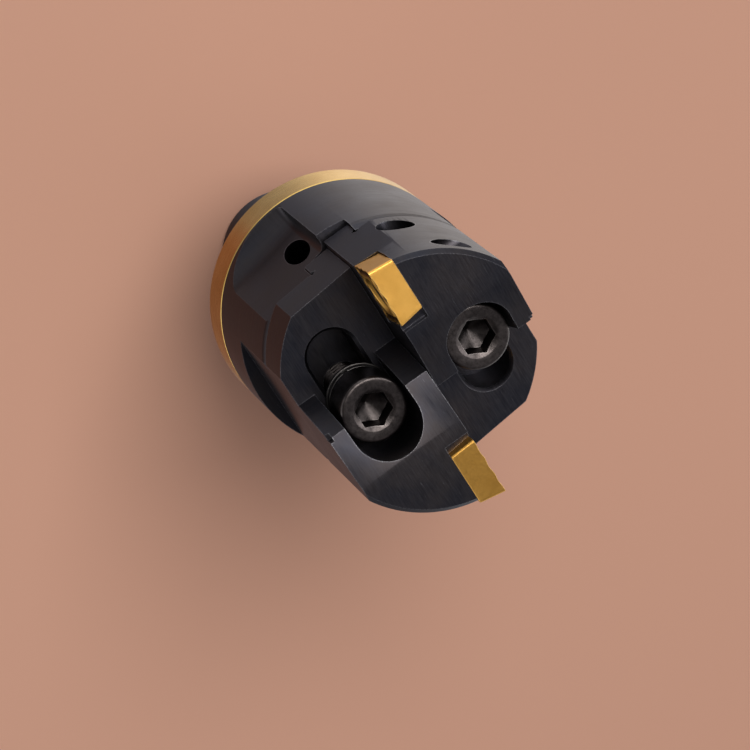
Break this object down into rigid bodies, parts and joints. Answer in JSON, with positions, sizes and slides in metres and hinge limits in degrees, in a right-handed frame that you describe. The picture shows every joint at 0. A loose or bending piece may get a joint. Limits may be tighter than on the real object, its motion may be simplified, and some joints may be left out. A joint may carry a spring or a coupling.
{
  "type": "adjustable twin-cutter boring head",
  "caption": "Modular rough boring head: two sliding cartridges with gold coated inserts on a black steel body with a gold collar and a rear spigot.",
  "frame": {"origin": "centre of the rear gauge face, where the spigot starts", "axes": "+Z along the tool axis towards the cutting end, +X the direction in which cartridge A slides outwards"},
  "size_m": [0.0398, 0.039, 0.0799],
  "materials": {
    "black_oxide_steel": "semi-gloss black oxide over ground and milled steel",
    "gold_coat": "satin gold coating on steel",
    "coated_carbide": "satin gold coating on carbide",
    "screw_steel": "dark heat-treated steel, edges worn bright",
    "washer_steel": "dark phosphated spring steel",
    "hardened_steel": "ground hardened steel"
  },
  "bodies": {
    "head_body": {"body": "black_oxide_steel", "collar_ring": "gold_coat", "pin_stop_screw": "screw_steel"},
    "coupling_pin": {"coupling_pin": "hardened_steel"},
    "cartridge_a": {"cartridge_a": "black_oxide_steel", "insert_a": "coated_carbide"},
    "insert_screw_a": {"insert_screw_a": "screw_steel"},
    "clamp_washers_a": {"flat_washer_a": "washer_steel", "spring_washer_a": "washer_steel"},
    "clamp_screw_a": {"clamp_screw_a": "screw_steel"},
    "adjusting_screw_a": {"adjusting_screw_a": "screw_steel"},
    "cartridge_b": {"cartridge_b": "black_oxide_steel", "insert_b": "coated_carbide"},
    "insert_screw_b": {"insert_screw_b": "screw_steel"},
    "clamp_washers_b": {"flat_washer_b": "washer_steel", "spring_washer_b": "washer_steel"},
    "clamp_screw_b": {"clamp_screw_b": "screw_steel"},
    "adjusting_screw_b": {"adjusting_screw_b": "screw_steel"}
  },
  "joints": [
    {"name": "coupling_pin_float", "type": "slide", "parent": "head_body", "child": "coupling_pin", "axis": [0, 1, 0], "range_m": [-0.0004, 0.0004]},
    {"name": "cartridge_a_slide", "type": "slide", "parent": "head_body", "child": "cartridge_a", "axis": [1, 0, 0], "range_m": [0, 0.0075]},
    {"name": "adjusting_screw_a_turn", "type": "hinge", "parent": "head_body", "child": "adjusting_screw_a", "pos_m": [0, -0.00905, 0.0358], "axis": [-1, 0, 0], "range_deg": [0, 3376]},
    {"name": "clamp_washers_a_lift", "type": "slide", "parent": "head_body", "child": "clamp_washers_a", "axis": [0, 0, 1], "range_m": [0, 0.002]},
    {"name": "clamp_screw_a_turn", "type": "hinge", "parent": "clamp_washers_a", "child": "clamp_screw_a", "pos_m": [0, -0.00905, 0.0404], "axis": [0, 0, 1], "range_deg": [0, 721]},
    {"name": "insert_screw_a_turn", "type": "hinge", "parent": "cartridge_a", "child": "insert_screw_a", "pos_m": [0.01432, 0, 0.04714], "axis": [0, 1, 0], "range_deg": [0, 360]},
    {"name": "cartridge_b_slide", "type": "slide", "parent": "head_body", "child": "cartridge_b", "axis": [-1, 0, 0], "range_m": [0, 0.0075]},
    {"name": "adjusting_screw_b_turn", "type": "hinge", "parent": "head_body", "child": "adjusting_screw_b", "pos_m": [0, 0.00905, 0.0358], "axis": [1, 0, 0], "range_deg": [0, 3376]},
    {"name": "clamp_washers_b_lift", "type": "slide", "parent": "head_body", "child": "clamp_washers_b", "axis": [0, 0, 1], "range_m": [0, 0.002]},
    {"name": "clamp_screw_b_turn", "type": "hinge", "parent": "clamp_washers_b", "child": "clamp_screw_b", "pos_m": [0, 0.00905, 0.0404], "axis": [0, 0, 1], "range_deg": [0, 721]},
    {"name": "insert_screw_b_turn", "type": "hinge", "parent": "cartridge_b", "child": "insert_screw_b", "pos_m": [-0.01432, 0, 0.04714], "axis": [0, -1, 0], "range_deg": [0, 360]}
  ],
  "couplings": [
    {"joint": "adjusting_screw_a_turn", "follows": "cartridge_a_slide", "rad_per_m": 7854},
    {"joint": "clamp_screw_a_turn", "follows": "clamp_washers_a_lift", "rad_per_m": 6283.2},
    {"joint": "adjusting_screw_b_turn", "follows": "cartridge_b_slide", "rad_per_m": 7854},
    {"joint": "clamp_screw_b_turn", "follows": "clamp_washers_b_lift", "rad_per_m": 6283.2}
  ]
}
